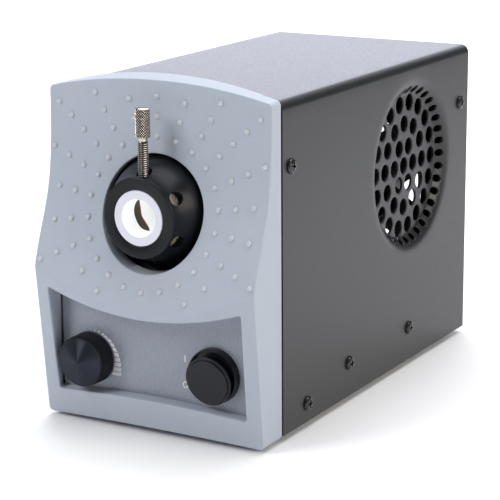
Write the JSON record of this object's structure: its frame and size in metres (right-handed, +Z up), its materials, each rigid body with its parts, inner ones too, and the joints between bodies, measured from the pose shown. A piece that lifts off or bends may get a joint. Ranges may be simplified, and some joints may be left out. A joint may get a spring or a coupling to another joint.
{
  "type": "fiber optic illuminator",
  "caption": "Halogen light source for a fibre light guide: steel case with dished round side vents, moulded front, clamping nose with thumbscrew, dimmer knob and rocker switch.",
  "frame": {"origin": "on the surface it stands on, under the middle of the whole part's box", "axes": "+Z up, -Y towards the front with the nose and controls, +X to the right as seen from the front"},
  "size_m": [0.1132, 0.22, 0.1551],
  "materials": {
    "black_powder_coat": "fine texture powder coat",
    "bezel_plastic": "fine moulded texture",
    "panel_metal": "brushed grey",
    "black_anodised": "satin black anodised",
    "pale_sleeve": "smooth",
    "nickel": "nickel plated",
    "steel_screw": "zinc plated",
    "dark_screw": "black",
    "galvanised": "galvanised",
    "black_rubber": "matt",
    "black_plastic": "satin",
    "knob_plastic": "spun face",
    "white_nylon": "smooth",
    "brass_plain": "plain",
    "reflector_glass": "coated",
    "lamp_glass": "clear",
    "filter_glass": "clear",
    "lamp_ceramic": "ceramic",
    "core_steel": "varnished laminations",
    "coil_copper": "enamelled wire",
    "board_green": "solder mask",
    "part_black": "moulded",
    "heat_sink_alu": "extruded",
    "fuse_glass": "clear",
    "wire_white": "sleeving",
    "wire_black": "insulation"
  },
  "bodies": {
    "housing": {"base_pan": "galvanised", "front_plate": "galvanised", "chassis_rivets": "steel_screw", "rear_panel": "black_powder_coat", "rear_screws": "dark_screw", "cover": "black_powder_coat", "cover_screws": "dark_screw", "rubber_feet": "black_rubber", "feet_screws": "steel_screw", "front_bezel": "bezel_plastic", "bezel_screws": "steel_screw", "control_panel": "panel_metal", "panel_standoffs": "steel_screw", "panel_screws": "steel_screw", "nose_ring": "black_anodised", "port_sleeve": "pale_sleeve", "nose_set_screws": "nickel", "nose_screws": "steel_screw", "potentiometer": "part_black", "pot_nut": "steel_screw", "switch_body": "black_plastic", "switch_nut": "black_plastic", "switch_terminals": "brass_plain", "lamp_reflector": "reflector_glass", "lamp_capsule": "lamp_glass", "lamp_base": "lamp_ceramic", "lamp_socket": "lamp_ceramic", "lamp_bracket": "galvanised", "lamp_clips": "steel_screw", "bracket_screws": "steel_screw", "filter_holder": "galvanised", "heat_filter": "filter_glass", "filter_screws": "steel_screw", "transformer_core": "core_steel", "transformer_coil": "coil_copper", "transformer_plate": "galvanised", "transformer_screws": "steel_screw", "circuit_board": "board_green", "board_components": "part_black", "heat_sink": "heat_sink_alu", "board_standoffs": "brass_plain", "board_screws": "steel_screw", "fan_frame": "black_plastic", "finger_guard": "nickel", "fan_screws": "steel_screw", "power_inlet": "black_plastic", "inlet_pins": "nickel", "lamp_leads": "wire_white", "mains_leads": "wire_black"},
    "dial": {"dial_knob": "knob_plastic", "knob_grub_screw": "steel_screw", "pot_shaft": "steel_screw"},
    "rocker": {"switch_rocker": "black_plastic", "switch_boot": "black_rubber"},
    "clamp_pad": {"clamp_tip": "white_nylon"},
    "clamp_screw": {"thumbscrew": "nickel"},
    "rotor": {"fan_rotor": "part_black"},
    "drawer": {"fuse_drawer": "black_plastic", "fuse": "fuse_glass"}
  },
  "joints": [
    {"name": "dial_turn", "type": "hinge", "parent": "housing", "child": "dial", "pos_m": [-0.033, -0.102, 0.0292], "axis": [0, 1, 0], "range_deg": [-135, 135]},
    {"name": "power_rock", "type": "hinge", "parent": "housing", "child": "rocker", "pos_m": [0.03, -0.0947, 0.0304], "axis": [-1, 0, 0], "range_deg": [0, 16]},
    {"name": "clamp_slide", "type": "slide", "parent": "housing", "child": "clamp_pad", "axis": [0, 0, 1], "range_m": [-0.006, 0.004]},
    {"name": "thumbscrew_turn", "type": "hinge", "parent": "clamp_pad", "child": "clamp_screw", "pos_m": [0, -0.1035, 0.13], "axis": [0, 0, 1], "range_deg": [-2400, 1600]},
    {"name": "fan_spin", "type": "hinge", "parent": "housing", "child": "rotor", "pos_m": [0, 0.098, 0.075], "axis": [0, 1, 0], "continuous": true},
    {"name": "fuse_drawer_slide", "type": "slide", "parent": "housing", "child": "drawer", "axis": [0, 1, 0], "range_m": [0, 0.018]}
  ],
  "couplings": [
    {"joint": "thumbscrew_turn", "follows": "clamp_slide", "rad_per_m": 6981.3}
  ]
}
